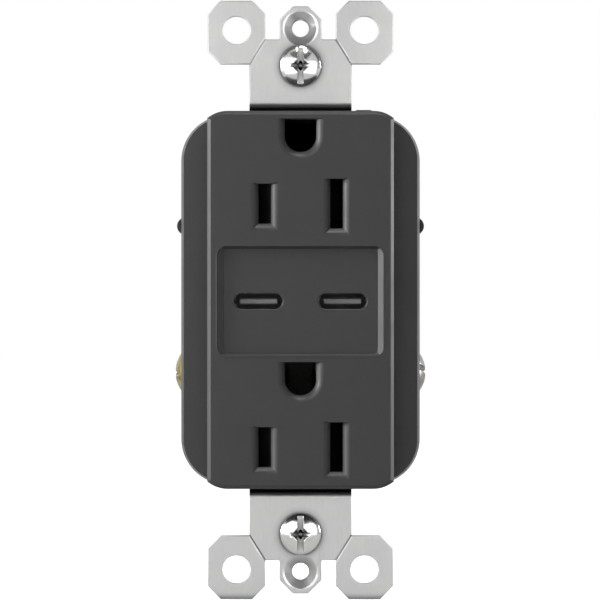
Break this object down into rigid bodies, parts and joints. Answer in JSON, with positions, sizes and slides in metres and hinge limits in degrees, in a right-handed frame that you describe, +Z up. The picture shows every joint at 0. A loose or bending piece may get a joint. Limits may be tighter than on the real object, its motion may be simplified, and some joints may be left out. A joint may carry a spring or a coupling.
{
  "type": "duplex wall outlet",
  "caption": "Decorator wall outlet with shuttered power sockets above and below a sunk panel of USB-C ports, on a steel mounting strap with plaster ears and side wiring terminals.",
  "frame": {"origin": "middle of the strap, midway between the box screws, on the wall plane that the ears bear on", "axes": "+X to the right seen from the room, +Y into the wall, +Z up the wall"},
  "size_m": [0.045, 0.0417, 0.1064],
  "materials": {
    "face_plastic": "finely textured moulded polycarbonate",
    "housing_plastic": "moulded glass-filled nylon",
    "strap_steel": "zinc-plated sheet steel",
    "screw_steel": "zinc-plated",
    "brass_screw": "plain brass",
    "nickel_screw": "nickel-plated",
    "green_screw": "green dyed zinc plate",
    "clamp_steel": "zinc-plated",
    "contact_brass": "stamped brass",
    "fibre": "vulcanised fibre",
    "carrier_plastic": "moulded nylon",
    "shutter_plastic": "slippery black moulded acetal",
    "spring_steel": "bright spring wire",
    "usb_steel": "nickel-plated stainless shell",
    "tongue_plastic": "moulded liquid-crystal polymer",
    "gold": "gold flash on copper alloy",
    "board": "glass-epoxy with green solder mask",
    "chip_plastic": "moulded epoxy",
    "ferrite": "ground ferrite",
    "winding_tape": "yellow polyester tape over copper wire",
    "copper": "enamelled copper wire",
    "capacitor_sleeve": "shrink sleeve over an aluminium can",
    "capacitor_can": "drawn aluminium can",
    "film_box": "potted plastic box",
    "disc_lacquer": "dipped lacquer"
  },
  "bodies": {
    "device": {"face_cover": "face_plastic", "usb_insert": "face_plastic", "rear_housing": "housing_plastic", "mounting_strap": "strap_steel", "assembly_screws": "screw_steel", "screw_washers": "fibre", "hot_contact_strip": "contact_brass", "neutral_contact_strip": "contact_brass", "upper_ground_contact": "contact_brass", "lower_ground_contact": "contact_brass", "ground_eyelets": "contact_brass", "contact_carrier": "carrier_plastic", "upper_shutter_spring": "spring_steel", "upper_shutter_retainer": "tongue_plastic", "lower_shutter_spring": "spring_steel", "lower_shutter_retainer": "tongue_plastic", "usb_board": "board", "usb_control_chips": "chip_plastic", "left_usb_shell": "usb_steel", "right_usb_shell": "usb_steel", "left_usb_tongue": "tongue_plastic", "right_usb_tongue": "tongue_plastic", "left_usb_contacts": "gold", "right_usb_contacts": "gold", "header_spacer": "chip_plastic", "header_pins": "gold", "power_board": "board", "transformer_core": "ferrite", "transformer_bobbin": "chip_plastic", "transformer_winding": "winding_tape", "bulk_capacitors": "capacitor_sleeve", "output_capacitors": "capacitor_can", "filter_choke": "copper", "inlet_fuse": "carrier_plastic", "bridge_rectifier": "chip_plastic", "suppression_capacitor": "film_box", "isolation_capacitor": "disc_lacquer", "optocoupler": "carrier_plastic", "switching_chips": "chip_plastic"},
    "upper_hot_slide": {"upper_hot_shutter": "shutter_plastic"},
    "upper_neutral_slide": {"upper_neutral_shutter": "shutter_plastic"},
    "lower_hot_slide": {"lower_hot_shutter": "shutter_plastic"},
    "lower_neutral_slide": {"lower_neutral_shutter": "shutter_plastic"},
    "hot_clamp": {"hot_clamp_plate": "brass_screw"},
    "neutral_clamp": {"neutral_clamp_plate": "nickel_screw"},
    "ground_clamp": {"ground_clamp_plate": "clamp_steel"},
    "hot_screw": {"hot_terminal_screw": "brass_screw"},
    "neutral_screw": {"neutral_terminal_screw": "nickel_screw"},
    "ground_screw": {"ground_terminal_screw": "green_screw"},
    "upper_mount_screw": {"upper_box_screw": "screw_steel"},
    "lower_mount_screw": {"lower_box_screw": "screw_steel"}
  },
  "joints": [
    {"name": "upper_hot_shutter_slide", "type": "slide", "parent": "device", "child": "upper_hot_slide", "axis": [1, 0, 0], "range_m": [0, 0.0028], "stiffness_N_per_m": 150, "springref_m": -0.001, "deforming": ["upper_shutter_spring"]},
    {"name": "upper_neutral_shutter_slide", "type": "slide", "parent": "device", "child": "upper_neutral_slide", "axis": [-1, 0, 0], "range_m": [0, 0.0028]},
    {"name": "lower_hot_shutter_slide", "type": "slide", "parent": "device", "child": "lower_hot_slide", "axis": [1, 0, 0], "range_m": [0, 0.0028], "stiffness_N_per_m": 150, "springref_m": -0.001, "deforming": ["lower_shutter_spring"]},
    {"name": "lower_neutral_shutter_slide", "type": "slide", "parent": "device", "child": "lower_neutral_slide", "axis": [-1, 0, 0], "range_m": [0, 0.0028]},
    {"name": "hot_clamp_slide", "type": "slide", "parent": "device", "child": "hot_clamp", "axis": [-1, 0, 0], "range_m": [-0.00106, 0.00096]},
    {"name": "hot_screw_turn", "type": "hinge", "parent": "hot_clamp", "child": "hot_screw", "pos_m": [-0.0202, 0.0094, -0.013], "axis": [-1, 0, 0], "range_deg": [-481, 436]},
    {"name": "neutral_clamp_slide", "type": "slide", "parent": "device", "child": "neutral_clamp", "axis": [1, 0, 0], "range_m": [-0.00106, 0.00096]},
    {"name": "neutral_screw_turn", "type": "hinge", "parent": "neutral_clamp", "child": "neutral_screw", "pos_m": [0.0202, 0.0094, -0.013], "axis": [1, 0, 0], "range_deg": [-481, 436]},
    {"name": "ground_clamp_slide", "type": "slide", "parent": "device", "child": "ground_clamp", "axis": [-1, 0, 0], "range_m": [-0.00106, 0.00096]},
    {"name": "ground_screw_turn", "type": "hinge", "parent": "ground_clamp", "child": "ground_screw", "pos_m": [-0.0178, 0.0094, -0.0226], "axis": [-1, 0, 0], "range_deg": [-481, 436]},
    {"name": "upper_mount_screw_turn", "type": "hinge", "parent": "device", "child": "upper_mount_screw", "pos_m": [0, -0.0013, 0.04167], "axis": [0, -1, 0], "continuous": true},
    {"name": "lower_mount_screw_turn", "type": "hinge", "parent": "device", "child": "lower_mount_screw", "pos_m": [0, -0.0013, -0.04167], "axis": [0, -1, 0], "continuous": true}
  ],
  "couplings": [
    {"joint": "upper_neutral_shutter_slide", "follows": "upper_hot_shutter_slide", "ratio": 1},
    {"joint": "lower_neutral_shutter_slide", "follows": "lower_hot_shutter_slide", "ratio": 1},
    {"joint": "hot_screw_turn", "follows": "hot_clamp_slide", "rad_per_m": 7915.8},
    {"joint": "neutral_screw_turn", "follows": "neutral_clamp_slide", "rad_per_m": 7915.8},
    {"joint": "ground_screw_turn", "follows": "ground_clamp_slide", "rad_per_m": 7915.8}
  ]
}
